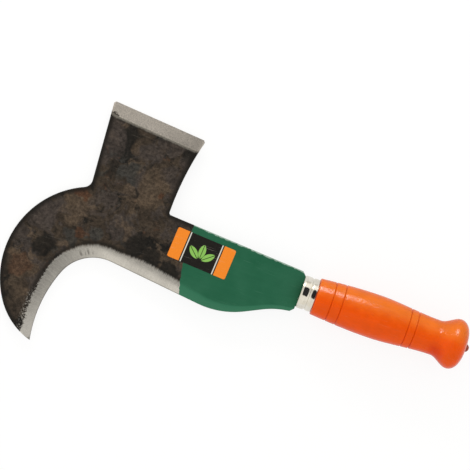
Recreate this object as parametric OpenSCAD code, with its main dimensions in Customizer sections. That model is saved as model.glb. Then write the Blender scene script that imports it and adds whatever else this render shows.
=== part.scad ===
// Billhook with an axe-shaped back: a forged blade with a through tang,
// a pressed ferrule, a turned wooden handle and a stuck-on label.
// X runs along the handle from the blade to the butt, Y towards the axe back, Z out of the blade's face.
// The origin is on the handle's axis, midway between the ferrule's front and the butt.

/* [Blade] */
// Thickness of the blade from the shoulder to the axe back
blade_t = 4.5; // [3.8:0.1:6]
// Thickness of the hook where its forged taper ends
hook_t = 3; // [2.4:0.1:3.6]
// Direction of the hook's taper, turned down from straight ahead
taper_turn = 28; // [20:1:36]
// Thickness left on a ground cutting edge
edge_land = 0.4; // [0.2:0.1:0.8]
// Thickness left on the blunt edge of the belly and shoulder
blunt_land = 2.4; // [1.6:0.1:3]
// Size of the eased edges round the spine, the axe's sides and the hook's back
edge_ease = 0.6; // [0.3:0.1:0.9]

/* [Hook] */
// Distance from the ferrule to the centre of the throat's curve
throat_ahead = 154.5; // [150:0.5:159]
// Radius of the throat
throat_r = 33.6; // [30:0.2:37]
// Angle that the throat turns through
throat_turn = 74.8; // [72:0.2:78]
// Radius of the inner edge from the throat to the point
beak_r = 107; // [95:1:125]
// Radius of the hook's back
back_r = 73; // [70:0.5:76]
// How far ahead of the throat's centre the back's centre lies
back_ahead = 6.7; // [4:0.1:9]
// How far above the throat's centre the back's centre lies
back_up = 16; // [13:0.1:19]
// Radius of the back where it runs down to the point
nose_r = 55.2; // [50:0.2:60]
// Direction in which the back's two curves meet
nose_turn = 213.5; // [209:0.5:218]
// Width of the ground bevel at the point, before the taper thins it
point_bevel = 13.2; // [8:0.2:16]
// Width of the ground bevel where the throat begins, before the taper thins it
throat_bevel = 14.2; // [8:0.2:16]
// Width of the ground bevel where the throat runs into the straight edge
straight_bevel = 11; // [8:0.2:14]
// Width of the ground bevel at its widest, on the straight edge
heel_bevel = 13.4; // [10:0.2:15]
// Where along the straight edge the bevel is widest, as a share of its length
heel_at = 0.35; // [0.2:0.05:0.8]

/* [Axe back] */
// Distance from the ferrule to the axe's rear side at the notch
axe_ahead = 119.3; // [112:0.1:124]
// Width of the axe at its root
axe_w = 66.1; // [62:0.1:70]
// Height of the axe's edge above the handle's axis, at mid width
axe_h = 92.2; // [80:0.2:105]
// Forward rise of the axe's edge
axe_rise = 4.9; // [0:0.1:8]
// Forward lean of the axe's front side
axe_lean = 3.5; // [0:0.1:6]
// Radius of the flare on the axe's rear side
axe_flare_r = 240; // [200:5:400]
// Size of the nipped corners of the axe
axe_corner = 1.6; // [0.8:0.1:3]
// Width of the axe's ground bevel
axe_bevel = 11; // [8:0.2:14]
// Width of that bevel at its two ends
axe_bevel_end = 7; // [4:0.2:8]
// Length over which that bevel grows to its full width
axe_bevel_round = 7; // [4:0.2:12]
// Radius of the notch between the axe and the spine
notch_r = 2; // [1.6:0.1:6]
// Radius of the hollow between the axe and the hook's back
hollow_r = 7.3; // [4:0.1:10]

/* [Shoulder] */
// Height of the spine above the handle's axis at the ferrule
spine_h = 15.7; // [14.5:0.1:18]
// Rise of the spine towards the axe
spine_rise = 3.8; // [2:0.1:6]
// Depth of the straight edge below the handle's axis, level with the throat's centre
edge_depth = 26.8; // [24:0.1:29]
// Fall of the straight edge towards the shoulder
edge_fall = 6.8; // [5:0.1:8.5]
// Radius of the belly
belly_r = 67.8; // [56:0.2:80]
// Slope of the run from the belly up to the shoulder
ramp_slope = 25.6; // [23:0.1:28]
// Radius of the hollow at the end of that run
ramp_r = 64.4; // [54:0.2:74]
// Slope of the lower outline at the ferrule
shoulder_slope = 6; // [3:0.2:9]
// Depth of the shoulder below the handle's axis at the ferrule
shoulder_depth = 18; // [16.5:0.1:20]
// Size of the shoulder's upper corner cut
upper_corner = 2.8; // [1:0.1:4]
// Size of the shoulder's lower corner cut
lower_corner = 3; // [1.5:0.1:4]
// Width of the blunt bevel round the belly
belly_bevel = 5.6; // [4:0.2:8]
// Width of the blunt bevel at the ferrule
shoulder_bevel = 3.6; // [2:0.2:5]

/* [Tang] */
// Width of the tang at the shoulder
tang_w = 10; // [8:0.1:12]
// Thickness of the tang, drawn down from the blade's
tang_t = 3.6; // [2.8:0.1:3.7]
// Width of the tang at the butt
tang_tail_w = 4.8; // [4:0.1:5.4]
// How much wider than the tang's end its hammered head is
head_spread = 1; // [0.6:0.1:2]
// Height of the hammered head
head_h = 3; // [2:0.1:3.2]

/* [Handle] */
// Length of the wood from the ferrule to the butt
handle_len = 127.4; // [118:0.2:150]
// Diameter of the wood behind the ferrule
neck_d = 30.2; // [29:0.1:34]
// Largest diameter of the grip
grip_d = 35.6; // [34:0.1:40]
// Diameter of the waist before the pommel
waist_d = 28.9; // [26:0.1:32]
// Diameter of the pommel
pommel_d = 41.4; // [38:0.1:48]
// Distance from the ferrule to the fullest part of the grip
grip_at = 50; // [46:0.2:56]
// Distance from the waist to the fullest part of the pommel
waist_to_pommel = 15; // [13:0.1:20]
// Length of the pommel's rounded end
pommel_end = 10.2; // [8:0.1:13]
// Diameter of the flat at the butt
butt_flat_d = 9.4; // [9:0.1:12]
// Rounding of the wood's front edge
neck_round = 0.8; // [0.4:0.1:1.2]
// Distance from the ferrule to the front pair of scored rings
front_rings_at = 13; // [10:0.2:18]
// Spacing of the front pair of rings
front_rings_pitch = 8.4; // [5:0.2:12]
// Distance from the ferrule to the rear pair of scored rings
rear_rings_at = 77.2; // [70:0.2:80]
// Spacing of the rear pair of rings
rear_rings_pitch = 6.4; // [4:0.2:8]
// Width of a scored ring
ring_w = 1.4; // [0.8:0.1:2]
// Depth of a scored ring
ring_depth = 0.6; // [0.3:0.1:1]

/* [Ferrule] */
// Length of the ferrule
ferrule_len = 13; // [10:0.2:18]
// Diameter over the ferrule's beads
ferrule_d = 27.2; // [26:0.1:29]
// Distance from the ferrule's front to its pressed groove
ferrule_groove_at = 7.4; // [5:0.1:8.5]
// How far ahead of the ferrule the curve of its front bead would begin
front_bead_lead = 0.4; // [0:0.1:3]
// How far behind the ferrule the curve of its rear bead would end
rear_bead_trail = 1.2; // [0.2:0.1:2]
// Depth of the pressed groove between the beads
ferrule_groove = 0.85; // [0.2:0.05:1]
// Thickness of the ferrule's sheet
ferrule_wall = 0.9; // [0.7:0.05:1.2]
// Diameter of the hole in the ferrule's turned-in front
ferrule_mouth_d = 17; // [14:0.5:20]

/* [Label] */
// Length of the label
label_len = 50; // [40:0.5:56]
// Width of the label
label_w = 25; // [18:0.5:27]
// Thickness of the label
label_t = 0.2; // [0.1:0.05:0.4]
// Corner radius of the label
label_r = 1.5; // [1:0.1:4]
// Distance from the ferrule to the label's middle
label_ahead = 84.5; // [78:0.5:88]
// Height of the label's middle above the handle's axis
label_up = 2.8; // [0:0.1:4]

/* [Fits] */
// Gap round the tang in its socket
tang_gap = 0.15; // [0.05:0.05:0.3]
// Gap between the ferrule and the wood inside it
ferrule_gap = 0.05; // [0.02:0.01:0.1]

/* [Hidden] */

// Finish colours
forge_scale = [0.22, 0.19, 0.17];
nickel = [0.84, 0.83, 0.80];
orange_lacquer = [0.92, 0.36, 0.10];
label_black = [0.10, 0.09, 0.09];

// Largest distance from a drawn curve to its true one, and how far cuts run past a face
chord_error = 0.015;
overrun = 3;
ease_overrun = 1;
$fn = 96;

// Stations along the handle
seat_x = -(ferrule_len + handle_len) / 2;
wood_x = seat_x + ferrule_len;
butt_x = wood_x + handle_len;
pommel_x = butt_x - pommel_end;
waist_x = pommel_x - waist_to_pommel;
grip_x = wood_x + grip_at;

// Tenon inside the ferrule, and the tang's head, which covers the tang's corners
tenon_r = ferrule_d / 2 - ferrule_groove - ferrule_wall - ferrule_gap;
head_r = norm([tang_tail_w, tang_t]) / 2 + head_spread / 2;

// Directions, lines and circles
function unit(a) = [cos(a), sin(a)];
function left_of(d) = [-d.y, d.x];
function dir_of(v) = v / norm(v);
function angle_of(v) = atan2(v.y, v.x);
function cross_of(a, b) = a.x * b.y - a.y * b.x;
function near_angle(a, to) = a + 360 * round((to - a) / 360);
function between(a, b, t) = a + (b - a) * t;

// Points along an arc from angle a0 to angle a1
function arc(c, r, a0, a1) =
    let (step = 2 * acos(1 - chord_error / r), n = max(2, ceil(abs(a1 - a0) / step)))
    [for (i = [0:n]) c + r * unit(a0 + (a1 - a0) * i / n)];

// The same points without the first, for an arc that carries on from another
function carried_on(path) = [for (i = [1:len(path) - 1]) path[i]];

// Where the line through p along d crosses the line through q along e
function lines_meet(p, d, q, e) = p + d * cross_of(q - p, e) / cross_of(d, e);

// Where the line through p along unit d meets a circle, at the end that side picks
function line_meets_circle(p, d, c, r, side) =
    let (along = (c - p) * d, off = norm(c - p - along * d))
    p + d * (along + side * sqrt(r * r - off * off));

// Where two circles meet, on the side of the line between them that side picks
function circles_meet(c1, r1, c2, r2, side) =
    let (span = norm(c2 - c1), d = (c2 - c1) / span)
    let (along = (r1 * r1 - r2 * r2 + span * span) / (2 * span))
    c1 + d * along + side * left_of(d) * sqrt(r1 * r1 - along * along);

// Length along a path up to its point n
function run_of(path, n) = n == 0 ? 0 : run_of(path, n - 1) + norm(path[n] - path[n - 1]);

// A path carried straight on past both ends
function run_past(path, by) =
    let (last = len(path) - 1)
    concat([path[0] + by * dir_of(path[0] - path[1])], path,
           [path[last] + by * dir_of(path[last] - path[last - 1])]);

// Directions of the straight stretches of the outline
spine_dir = unit(-spine_rise);
edge_dir = unit(-edge_fall);
ramp_dir = unit(ramp_slope);
axe_edge_dir = unit(-axe_rise);
axe_front_dir = unit(90 + axe_lean);

// Hook: throat, inner edge, back and nose are arcs that run into each other
throat_c = [seat_x - throat_ahead, -edge_depth - throat_r / cos(edge_fall)];
throat_start = 90 - edge_fall;
throat_end = throat_start + throat_turn;
beak_c = throat_c - (beak_r - throat_r) * unit(throat_end);
back_c = throat_c + [-back_ahead, back_up];
nose_c = back_c + (back_r - nose_r) * unit(nose_turn);
point = circles_meet(nose_c, nose_r, beak_c, beak_r, -1);
beak_end = near_angle(angle_of(point - beak_c), throat_end);
nose_end = near_angle(angle_of(point - nose_c), nose_turn);

// Axe back, with its notch to the spine and its hollow to the hook
spine_p = [seat_x, spine_h];
axe_root = lines_meet(spine_p, spine_dir, [seat_x - axe_ahead, 0], [0, 1]);
flare_c = axe_root + [axe_flare_r, 0];
axe_front_p = axe_root - [axe_w, 0];
axe_edge_p = [axe_root.x - axe_w / 2, axe_h];
axe_front_corner = lines_meet(axe_front_p, axe_front_dir, axe_edge_p, axe_edge_dir);
axe_rear_corner = line_meets_circle(axe_edge_p, axe_edge_dir, flare_c, axe_flare_r, -1);
nip_angle = axe_corner / axe_flare_r * 180 / PI;
flare_end = near_angle(angle_of(axe_rear_corner - flare_c), 180) + nip_angle;
notch_c = line_meets_circle(spine_p + notch_r * left_of(spine_dir), spine_dir,
                            flare_c, axe_flare_r - notch_r, -1);
notch_end = near_angle(angle_of(notch_c - flare_c), 180);
hollow_c = line_meets_circle(axe_front_p + hollow_r * left_of(axe_front_dir), axe_front_dir,
                             back_c, back_r + hollow_r, 1);
hollow_end = near_angle(angle_of(back_c - hollow_c), -90);

// Shoulder: the straight edge, the belly, the ramp and the hollow that meets the ferrule
shoulder_p = [seat_x - lower_corner, -shoulder_depth];
ramp_c = shoulder_p - ramp_r * left_of(unit(shoulder_slope));
ramp_p = ramp_c + ramp_r * left_of(ramp_dir);
edge_p = throat_c + throat_r * unit(throat_start);
belly_tip = lines_meet(edge_p, edge_dir, ramp_p, ramp_dir);
belly_run = belly_r * tan((ramp_slope + edge_fall) / 2);
belly_c = belly_tip - belly_run * edge_dir + belly_r * left_of(edge_dir);

// The hook's edge from the point to the shoulder
beak_edge = arc(beak_c, beak_r, beak_end, throat_end);
throat_edge = arc(throat_c, throat_r, throat_end, throat_start);
belly_edge = arc(belly_c, belly_r, -90 - edge_fall, -90 + ramp_slope);
shoulder_edge = arc(ramp_c, ramp_r, 90 + ramp_slope, 90 + shoulder_slope);
straight_p = between(edge_p, belly_edge[0], heel_at);
cutting_edge = concat(beak_edge, carried_on(throat_edge), [straight_p], belly_edge, shoulder_edge);

// The rest of the outline: up the shoulder, along the spine and the axe's rear side, and from its front
// side round the hook's back to the point
shoulder_end = [[seat_x, lower_corner - shoulder_depth], [seat_x, spine_h - upper_corner]];
spine_edge = concat(
    [spine_p - upper_corner * spine_dir],
    arc(notch_c, notch_r, 270 - spine_rise, notch_end),
    carried_on(arc(flare_c, axe_flare_r, notch_end, flare_end)));
axe_edge = [axe_rear_corner - axe_corner * axe_edge_dir, axe_front_corner + axe_corner * axe_edge_dir];
back_edge = concat(
    [axe_front_corner - axe_corner * axe_front_dir],
    arc(hollow_c, hollow_r, axe_lean, hollow_end),
    carried_on(arc(back_c, back_r, hollow_end + 180, nose_turn)),
    carried_on(arc(nose_c, nose_r, nose_turn, nose_end)));

// The forged taper: it starts across the hook's root and thins the hook towards its back and point
taper_dir = unit(180 + taper_turn);
taper_p = hollow_c + hollow_r * unit(hollow_end);
taper_len = (back_c - taper_p) * taper_dir + back_r;
taper_slope = (blade_t - hook_t) / 2 / taper_len;
function thickness_at(p) = blade_t - 2 * taper_slope * max(0, (p - taper_p) * taper_dir);

// Width and remaining thickness of the hook's bevel along its run
throat_n = len(beak_edge) - 1;
straight_n = throat_n + len(throat_edge);
belly_n = straight_n + len(belly_edge);
throat_run = run_of(cutting_edge, throat_n);
throat_run_to = run_of(cutting_edge, straight_n - 1);
straight_run = run_of(cutting_edge, straight_n);
belly_run_from = run_of(cutting_edge, straight_n + 1);
belly_run_to = run_of(cutting_edge, belly_n);
edge_run = run_of(cutting_edge, len(cutting_edge) - 1);
bevel_widths = [[0, point_bevel], [throat_run, throat_bevel], [throat_run_to, straight_bevel],
                [straight_run, heel_bevel], [belly_run_from, (heel_bevel + belly_bevel) / 2],
                [belly_run_to, belly_bevel], [edge_run, shoulder_bevel]];
bevel_lands = [[straight_run, edge_land], [belly_run_to, blunt_land]];

// Waste ground off the upper face along a path that has the blade on its left: a wedge swept along it.
// Each cut is the wedge's width and the thickness that it leaves at the path.
module ground_waste(path, cuts, past) {
    last = len(path) - 1;
    section = [for (i = [0:last])
        let (along = dir_of(path[min(i + 1, last)] - path[max(i - 1, 0)]), inward = left_of(along))
        let (w = cuts[i][0], land = cuts[i][1] / 2, slope = (blade_t / 2 - land) / w)
        let (outer = path[i] - past * inward, inner = path[i] + (w + past) * inward)
        let (low = land - past * slope, top = blade_t / 2 + past * slope)
        each [[outer.x, outer.y, low], [inner.x, inner.y, top], [outer.x, outer.y, top]]];
    sides = [for (i = [0:last - 1], k = [0:2])
        let (a = 3 * i + k, b = 3 * i + (k + 1) % 3)
        each [[a, b + 3, b], [a, a + 3, b + 3]]];
    ends = [[0, 1, 2], [3 * last, 3 * last + 2, 3 * last + 1]];
    polyhedron(section, concat(sides, ends));
}

module hook_grinding() {
    path = run_past(cutting_edge, overrun);
    cuts = [for (i = [0:len(path) - 1])
        let (run = run_of(path, i) - overrun)
        [lookup(run, bevel_widths), lookup(run, bevel_lands)]];
    ground_waste(path, cuts, overrun);
}

// The axe's bevel grows along a quarter ellipse from each end of the edge
module axe_grinding() {
    turns = [0:15:90];
    runs = [for (a = turns) axe_bevel_round * (1 - cos(a))];
    widths = [for (a = turns) between(axe_bevel_end, axe_bevel, sin(a))];
    last = len(runs) - 1;
    along = dir_of(axe_front_corner - axe_rear_corner);
    rear = [for (i = [0:last]) axe_rear_corner + runs[i] * along];
    front = [for (i = [last:-1:0]) axe_front_corner - runs[i] * along];
    rear_cuts = [for (i = [0:last]) [widths[i], edge_land]];
    front_cuts = [for (i = [last:-1:0]) [widths[i], edge_land]];
    end_cut = [[axe_bevel_end, edge_land]];
    ground_waste(run_past(concat(rear, front), overrun),
                 concat(end_cut, rear_cuts, front_cuts, end_cut), overrun);
}

// Blunt outline edges, broken at 45 degrees whatever the thickness
module easing(edge) {
    path = run_past(edge, ease_overrun);
    ground_waste(path, [for (p = path)
        let (land = thickness_at(p) - 2 * edge_ease)
        [(blade_t - land) / 2, land]], ease_overrun);
}

module taper_waste() {
    translate([taper_p.x, taper_p.y, blade_t / 2])
        rotate([0, 0, taper_turn])
            rotate([0, -atan(taper_slope), 0])
                translate([-2 * taper_len, -2 * back_r, 0])
                    cube([2 * taper_len, 4 * back_r, blade_t]);
}

module ground_plate() {
    difference() {
        linear_extrude(height = blade_t, center = true)
            polygon(concat(shoulder_end, spine_edge, axe_edge, back_edge, carried_on(cutting_edge)));
        for (face = [0, 1])
            mirror([0, 0, face]) {
                taper_waste();
                hook_grinding();
                axe_grinding();
                easing(spine_edge);
                easing(back_edge);
            }
    }
}

// Half width of the tapered tang at x
function tang_half(x) = (tang_w - (tang_w - tang_tail_w) * (x - seat_x) / (butt_x - seat_x)) / 2;

// Tang between two stations, grown by gap on every side for its socket
module tang(from_x, to_x, gap) {
    linear_extrude(height = tang_t + 2 * gap, center = true)
        polygon([[from_x, -tang_half(from_x) - gap], [to_x, -tang_half(to_x) - gap],
                 [to_x, tang_half(to_x) + gap], [from_x, tang_half(from_x) + gap]]);
}

// Domed head hammered over on the end of the tang
module tang_head() {
    dome_r = (head_r * head_r + head_h * head_h) / (2 * head_h);
    translate([butt_x, 0, 0])
        rotate([0, 90, 0])
            intersection() {
                translate([0, 0, head_h - dome_r])
                    sphere(dome_r);
                cylinder(r = 2 * head_r, h = head_h + overrun);
            }
}

module blade() {
    color(forge_scale) {
        ground_plate();
        tang(seat_x - overrun, butt_x + head_h / 3, 0);
        tang_head();
    }
}

// Outline of the ferrule: two beads with a groove between them, the front one rounded over at the mouth
bead_steps = 16;
function bead_r(x, from, to) = ferrule_d / 2 - ferrule_groove * (1 - sin(180 * (x - from) / (to - from)));

module ferrule() {
    front_bead = [for (i = [0:bead_steps])
        let (x = between(ferrule_wall, ferrule_groove_at, i / bead_steps))
        [bead_r(x, -front_bead_lead, ferrule_groove_at), x]];
    rear_bead = [for (i = [1:bead_steps])
        let (x = between(ferrule_groove_at, ferrule_len, i / bead_steps))
        [bead_r(x, ferrule_groove_at, ferrule_len + rear_bead_trail), x]];
    mouth = [for (a = [0:15:75])
        [front_bead[0].x - ferrule_wall * (1 - sin(a)), ferrule_wall * (1 - cos(a))]];
    color(nickel)
        translate([seat_x, 0, 0])
            rotate([0, 90, 0])
                difference() {
                    rotate_extrude()
                        polygon(concat([[0, 0]], mouth, front_bead, rear_bead, [[0, ferrule_len]]));
                    translate([0, 0, ferrule_wall])
                        cylinder(r = tenon_r + ferrule_gap, h = ferrule_len);
                    translate([0, 0, -overrun])
                        cylinder(d = ferrule_mouth_d, h = 2 * overrun);
                }
}

// Turned outline of the wood: a rise to the grip, a fall to the waist, a swell to the pommel, a domed end
shaft_step = 2;
dome_steps = 14;
dome_power = 2.2;
function ease(t) = t * t * (3 - 2 * t);
function dome(t) = pow(1 - pow(min(1, t), dome_power), 1 / dome_power);
function wood_d(x) =
    x < grip_x ? between(neck_d, grip_d, sin(90 * (x - wood_x) / grip_at)) :
    x < waist_x ? between(grip_d, waist_d, ease((x - grip_x) / (waist_x - grip_x))) :
    x < pommel_x ? between(waist_d, pommel_d, ease((x - waist_x) / waist_to_pommel)) :
    between(butt_flat_d, pommel_d, dome((x - pommel_x) / pommel_end));

// A V cut to a depth below the wood's surface
module scored_ring(at) {
    x = wood_x + at;
    r = wood_d(x) / 2;
    flare = 1 + overrun / ring_depth;
    polygon([[r + overrun, x - ring_w / 2 * flare], [r - ring_depth, x],
             [r + overrun, x + ring_w / 2 * flare]]);
}

module turned_wood() {
    shaft_x = wood_x + neck_round;
    steps = ceil((pommel_x - shaft_x) / shaft_step);
    tenon = [[0, seat_x + ferrule_wall], [tenon_r, seat_x + ferrule_wall], [tenon_r, wood_x]];
    brow = [for (a = [0:18:72])
        [wood_d(shaft_x) / 2 - neck_round * (1 - sin(a)), wood_x + neck_round * (1 - cos(a))]];
    shaft = [for (i = [0:steps]) let (x = between(shaft_x, pommel_x, i / steps)) [wood_d(x) / 2, x]];
    pommel = [for (i = [1:dome_steps])
        let (x = pommel_x + pommel_end * sin(90 * i / dome_steps))
        [wood_d(x) / 2, x]];
    rotate([0, 90, 0])
        rotate_extrude()
            difference() {
                polygon(concat(tenon, brow, shaft, pommel, [[0, butt_x]]));
                scored_ring(front_rings_at);
                scored_ring(front_rings_at + front_rings_pitch);
                scored_ring(rear_rings_at);
                scored_ring(rear_rings_at + rear_rings_pitch);
            }
}

module handle() {
    color(orange_lacquer)
        difference() {
            turned_wood();
            tang(seat_x, butt_x + overrun, tang_gap);
        }
}

module label() {
    color(label_black)
        translate([seat_x - label_ahead, label_up, blade_t / 2])
            rotate([0, 0, -spine_rise])
                linear_extrude(height = label_t)
                    union() {
                        square([label_len - 2 * label_r, label_w], center = true);
                        square([label_len, label_w - 2 * label_r], center = true);
                        for (sx = [-1, 1], sy = [-1, 1])
                            translate([sx * (label_len / 2 - label_r), sy * (label_w / 2 - label_r)])
                                circle(label_r);
                    }
}

blade();
ferrule();
handle();
label();
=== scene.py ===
import math
from types import SimpleNamespace

import bmesh
import bpy
from mathutils import Matrix, Vector, kdtree, noise


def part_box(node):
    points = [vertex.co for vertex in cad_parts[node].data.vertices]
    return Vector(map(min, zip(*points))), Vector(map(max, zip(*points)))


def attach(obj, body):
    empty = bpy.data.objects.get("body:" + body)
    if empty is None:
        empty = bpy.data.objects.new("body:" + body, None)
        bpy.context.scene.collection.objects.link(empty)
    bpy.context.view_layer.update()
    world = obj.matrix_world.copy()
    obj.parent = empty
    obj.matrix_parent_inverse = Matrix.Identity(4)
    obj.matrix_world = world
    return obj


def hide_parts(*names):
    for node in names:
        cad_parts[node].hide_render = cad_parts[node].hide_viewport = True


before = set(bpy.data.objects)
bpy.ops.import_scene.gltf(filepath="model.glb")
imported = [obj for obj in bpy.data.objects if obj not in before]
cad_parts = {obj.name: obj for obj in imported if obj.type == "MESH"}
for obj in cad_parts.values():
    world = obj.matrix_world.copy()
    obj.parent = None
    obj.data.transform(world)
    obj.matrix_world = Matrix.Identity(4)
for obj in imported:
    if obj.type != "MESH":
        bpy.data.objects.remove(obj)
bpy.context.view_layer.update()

MM = 0.001
TO_MM = 1000.0


def tone(red, green, blue):
    """A colour as it looks on a screen, turned into light."""
    light = []
    for level in (red, green, blue):
        share = level / 255
        if share <= 0.04045:
            light.append(share / 12.92)
        else:
            light.append(((share + 0.055) / 1.055) ** 2.4)
    return (*light, 1.0)


# The camera stands above the labelled face, leaning a little towards the blade
# and turned so that the handle slopes down to the right.
PICTURE_TURN = math.radians(19.05)
PICTURE_LEAN = math.radians(2.5)
PICTURE_CENTRE = Vector((-134.25, 25.3, 2.25)) * MM
PICTURE_WIDTH = 375.6 * MM
LENS = 250.0
SENSOR = 36.0
SIGHT_LIMIT = 100.0

# The tool lies on the swell of its handle, the axe's front corner and the back of the hook.
SWELL_REST = Vector((-30.7, 0.0, -17.2)) * MM
AXE_REST = Vector((-258.8, 85.4, -2.45)) * MM
HOOK_REST = Vector((-297.8, -15.9, -1.95)) * MM

# The floor: its side in metres, its paint, and its glow and shadow as the lens sees them.
FLOOR_SIDE = 40.0
FLOOR_PAINT = tone(236, 236, 236)
FLOOR_GLOW = 0.86
FLOOR_SHADOW = (0.16, 0.16, 0.16, 1)
WHITE = (1, 1, 1, 1)

# The light tent: its cloth as it lights the tool and as it mirrors, and how brightly it
# mirrors, from below the picture to above it.
TENT_CLOTH = tone(237, 236, 233)
TENT_MIRRORED = tone(255, 252, 246)
TENT_BELOW = 1.05
TENT_STEPS = ((-0.2, 0.4, 0.84), (0.5, 0.66, 1.3), (0.91, 0.985, 0.8))

# The dark opening overhead in the tent: its middle and its half widths in x and y, as
# slopes from straight up, how far it is turned clockwise, how square it is, and its border.
OPENING_TONE = tone(45, 45, 47)
OPENING_MIDDLE = (0.21, 0.2)
OPENING_HALF = (0.5, 0.6)
OPENING_TURN = math.radians(20)
OPENING_SQUARENESS = 4.0
OPENING_BORDER = (1.25, 0.8)
LOWEST_CLIMB = 0.01

# The lamps: place and size in metres, power in watts, and colour.
STRIP_LIGHT = {
    "at": Vector((-0.64, 1.1, 0.62)), "size": (0.9, 0.2), "power": 5.0, "colour": (1.0, 0.95, 0.84),
}
WINDOW_SHEEN = {
    "at": Vector((-0.26, 1.1, 0.66)), "size": (0.42, 0.5), "power": 23.0, "colour": (0.75, 0.92, 1.0),
}

# How close points of the CAD skins are taken as one, how flat a face is taken as whole,
# how near to a cutting plane a point is taken as on it, and which triangles join to quads.
SAME_POINT = 0.002 * MM
FLAT_WITHIN = math.radians(0.12)
ON_PLANE = 0.001 * MM
QUAD_BEND = 0.5
QUAD_SKEW = 0.8

# Edges that turn by more than this many degrees stay crisp.
FACE_CREASE = 6
WALL_CREASE = 25
HANDLE_CREASE = 32
FERRULE_CREASE = 35
LABEL_CREASE = 30

# Blade faces by how far they lean from level.
LEVEL_FACE = 0.9985
GROUND_FACE = 0.93
EASED_FACE = 0.45
FLAT, GROUND, EASED, WALL = range(4)

# Places along the tool that the frame gives, in millimetres.
FERRULE_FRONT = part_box("ferrule")[0].x * TO_MM
FERRULE_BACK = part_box("ferrule")[1].x * TO_MM
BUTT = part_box("handle")[1].x * TO_MM

# The blade ends and the tang starts here, and the blade's faces are cut into squares of this side.
TANG_START = (FERRULE_FRONT + 0.7) * MM
BLADE_GRID = 2.5 * MM

# Points along the blade's edges, in millimetres: how close they lie, and the run that each
# further edge is set apart by.
EDGE_SAMPLE = 0.4
EDGE_APART = 500.0

# Behind this x the bevel's border lies under lacquer, and points there count as this far from
# it, in millimetres.
SCALE_END = -150.0
FAR_FROM_BORDER = 99.0

# Slow hammer waves that are left in the forged faces, in millimetres, and the draws for them.
WAVE_HEIGHT = 0.11
WAVE_PER_MM = 0.032
DENT_HEIGHT = 0.035
DENT_PER_MM = 0.11
UPPER_DRAW = 2.0
UNDER_DRAW = 40.0
DENT_DRAW = 9.7

# The ferrule's beads in millimetres: where they start, the depth of the groove between them,
# how much flatter than a wave they are, and where the rear bead starts to fall away to the
# wood, and how far.
BEADS_FROM = FERRULE_FRONT + 1.0
BEAD_DEPTH = 0.85
BEAD_FLATNESS = 2.4
FALL_FROM = FERRULE_BACK - 2.4
FALL = 0.3
SLACK = 0.01

# The handle in millimetres: the waist, under which shade is painted, where the lacquer ends inside the
# ferrule, and the scored rings: where they run, how wide they are and how deep a full one is.
WAIST_X = BUTT - 23.2
LACQUER_END = (FERRULE_BACK - 0.8, FERRULE_BACK - 1.3)
RINGS_FROM = FERRULE_BACK + 3.2
RINGS_TO = BUTT - 15.2
RING_HALF = 1.2
RING_DEPTH = 0.5

# The dip line of the green lacquer, in millimetres: its x at a first height y, its lean
# there, and how it bows between that height and a second one.
DIP_X = -167.8
DIP_Y = 21.2
DIP_LEAN = -0.0536
DIP_BOW = 0.00271
DIP_BOW_Y = -10.5

# Where one look of the blade starts and where it is full, in millimetres of height y.
HOOK_LOOK = (-28.0, -48.0)
AXE_LOOK = (55.0, 65.0)
POINT_LOOK = (-60.0, -106.0)
FLECK_LOOK = (-64.0, -76.0)
SPINE_LOOK = (-5.0, 5.0)

# The same in millimetres of x: the axe's bevel growing darker towards the heel, and the riveted end of
# the tang.
HEEL_LOOK = (-225.0, -180.0)
RIVET_LOOK = (BUTT - 1.2, BUTT - 0.2)

# How far scale creeps over the bevel, as a share of its width, by height y in millimetres.
RAGGED_BY_HEIGHT = (
    (-104, 0.0), (-97, 0.14), (-66, 0.14), (-48, 0.08), (-34, 0.07), (-8, 0.07), (10, 0.02),
)

# The front corner of the axe, where the wheel left scale standing.
CORNER_LEFT = Vector((-256.6, 84.8, 0)) * MM
CORNER_REACH = 4.2 * MM
CORNER_RAGGED = 0.9

# The share of each bevel's width that the wheel rolled over towards the flat, by the way
# along the edge: it counts height y up to the throat, then also x, and the axe comes last.
THROAT_X = -245.0
STRAIGHT_RUN = 60.0
ROLLED_ALONG_EDGE = (
    (-104, 0.5), (-92, 0.6), (-74, 0.66), (-50, 0.6), (-38, 0.35), (-14, 0.3),
    (2, 0.6), (12, 0.65), (44, 0.65), (70, 0.12),
)

# Where the wheel chattered in the throat.
CHATTER = Vector((-241.0, -31.0, 0)) * MM
CHATTER_REACH = 10.0 * MM

# The label's print in millimetres from its middle: where the orange ends start, the pin
# lines, and the leaves, each of which lies where two discs overlap.
ENDS_BORDER = (14.9, 15.1)
PIN_LINE_AT = 13.6
PIN_LINE_BORDER = (0.55, 0.35)
LEAF_FOOT = (0, -7.0, 0)
LEAF_LEANS = (-0.85, 0.0, 0.85)
LEAF_MIDDLE = 8.2
DISC_OFFSET = 5.2
DISC_BORDER = (8.15, 7.9)
VEIN_BORDER = (0.2, 0.34)

# How much the skins of the blade, the handle and the label mirror.
BLADE_GLOSS = 0.15
HANDLE_GLOSS = 0.12
LABEL_GLOSS = 0.25

# How deep the finishes' fine relief is, in millimetres.
BLADE_RELIEF = 0.06
HANDLE_RELIEF = 0.22
FERRULE_RELIEF = 0.012
LABEL_RELIEF = 0.02

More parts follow.
